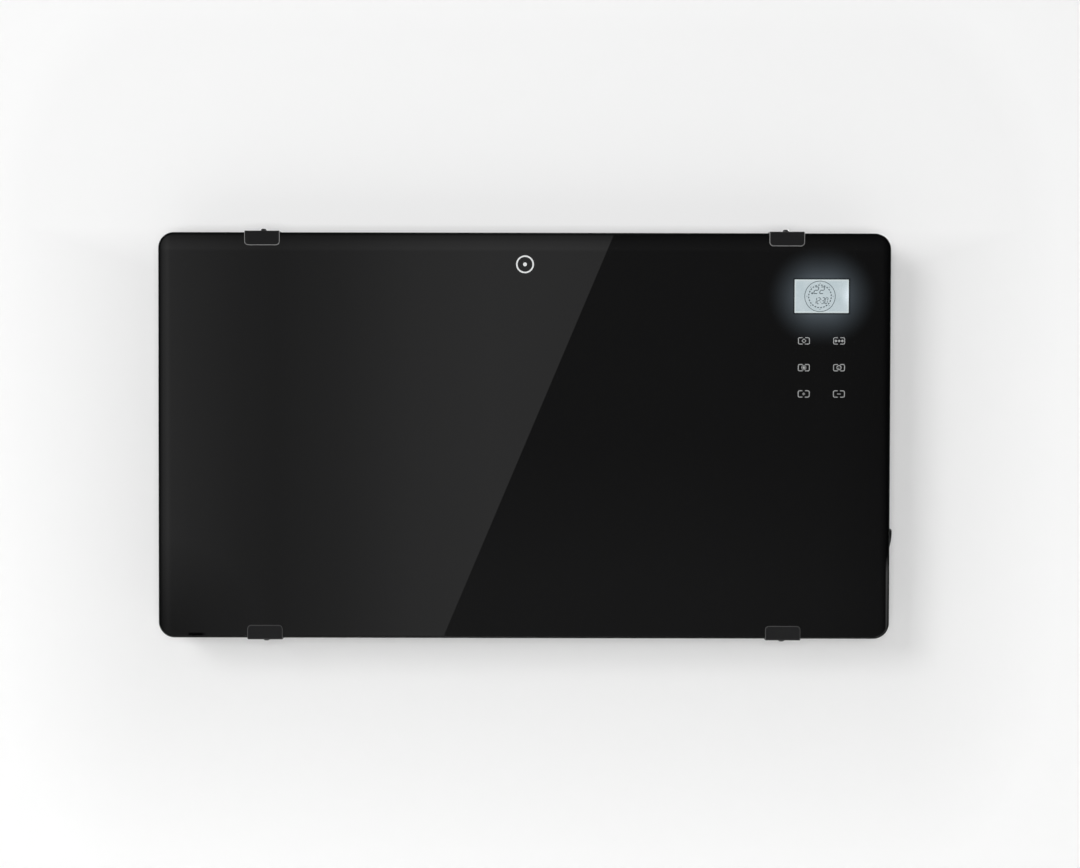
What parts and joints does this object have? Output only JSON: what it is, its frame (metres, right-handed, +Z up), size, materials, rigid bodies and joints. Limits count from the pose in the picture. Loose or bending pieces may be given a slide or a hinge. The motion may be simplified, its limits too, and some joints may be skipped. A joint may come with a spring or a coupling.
{
  "type": "wall convector heater",
  "caption": "Flat wall-hung convector heater with a black glass front, a lit display with touch keys, a louvred air outlet in its top and a hook-on wall rail.",
  "frame": {"origin": "middle of the wall rail's four screw holes, on the plane of the wall", "axes": "+Z up, +Y into the wall, +X to the right for someone who faces the heater"},
  "size_m": [0.8345, 0.0926, 0.4698],
  "materials": {
    "rail_zinc": "satin zinc",
    "casing_paint": "satin powder coat",
    "cap_plastic": "fine grain",
    "grille_plastic": "fine grain",
    "front_glass": "polished",
    "back_print": "fired black print",
    "foam": "closed-cell foam",
    "clip_paint": "satin powder coat",
    "pad_rubber": "matte",
    "screw_black": "black plated",
    "screw_steel": "plated",
    "fin_aluminium": "extruded",
    "tube_steel": "heat tinted",
    "ceramic": "unglazed",
    "bracket_steel": "galvanised",
    "shield_aluminium": "bright",
    "housing_plastic": "fine grain",
    "board_green": "solder mask",
    "touch_foam": "conductive foam",
    "lcd_glass": "polished",
    "light_plastic": "white",
    "seal_rubber": "matte",
    "tray_plastic": "plain",
    "relay_plastic": "moulded",
    "core_iron": "varnished",
    "capacitor_sleeve": "sleeved",
    "plug_plastic": "plain",
    "ribbon_plastic": "plain",
    "switch_plastic": "moulded",
    "wire_brown": "sleeved",
    "wire_red": "silicone sleeve",
    "wire_grey": "sleeved",
    "pendulum_brass": "turned",
    "gland_nylon": "moulded",
    "spacer_plastic": "fine grain",
    "tip_rubber": "matte"
  },
  "bodies": {
    "wall_rail": {"wall_rail": "rail_zinc"},
    "heater": {"rear_shell": "casing_paint", "front_plate": "casing_paint", "side_cap_left": "cap_plastic", "side_cap_right": "cap_plastic", "outlet_grille": "grille_plastic", "glass_panel": "front_glass", "glass_print": "back_print", "glass_tapes": "foam", "glass_clip_top_left": "clip_paint", "glass_clip_top_right": "clip_paint", "glass_clip_bottom_left": "clip_paint", "glass_clip_bottom_right": "clip_paint", "clip_pads": "pad_rubber", "clip_screws": "screw_black", "cap_screws": "screw_black", "element_fins": "fin_aluminium", "element_tube": "tube_steel", "element_bushes": "ceramic", "element_bracket_left": "bracket_steel", "element_bracket_right": "bracket_steel", "rear_heat_shield": "shield_aluminium", "front_heat_shield": "shield_aluminium", "bay_partition": "bracket_steel", "thermal_cutout": "ceramic", "display_housing": "housing_plastic", "touch_board": "board_green", "touch_pads": "touch_foam", "lcd_panel": "lcd_glass", "lcd_backlight": "light_plastic", "lcd_gasket": "seal_rubber", "board_tray": "tray_plastic", "power_board": "board_green", "relays": "relay_plastic", "transformer": "core_iron", "capacitors": "capacitor_sleeve", "board_connectors": "plug_plastic", "board_screws": "screw_steel", "display_ribbon": "ribbon_plastic", "power_switch": "switch_plastic", "switch_wires": "wire_brown", "tip_switch_case": "tray_plastic", "tip_microswitch": "relay_plastic", "cord_gland": "gland_nylon", "terminal_block": "plug_plastic", "mains_wires": "wire_brown", "element_wires": "wire_red", "room_sensor": "gland_nylon", "sensor_wire": "wire_grey", "wall_spacers": "spacer_plastic", "spacer_tips": "tip_rubber"},
    "power_rocker": {"power_rocker": "switch_plastic"},
    "tip_pendulum": {"tip_pendulum": "pendulum_brass"}
  },
  "joints": [
    {"name": "heater_lift", "type": "slide", "parent": "wall_rail", "child": "heater", "axis": [0, 0, 1], "range_m": [0, 0.012]},
    {"name": "rocker_tilt", "type": "hinge", "parent": "heater", "child": "power_rocker", "pos_m": [0.413, -0.066, -0.257], "axis": [0, -1, 0], "range_deg": [0, 16]},
    {"name": "pendulum_swing", "type": "hinge", "parent": "heater", "child": "tip_pendulum", "pos_m": [0.365, -0.046, -0.3315], "axis": [1, 0, 0], "range_deg": [-25, 25]}
  ]
}
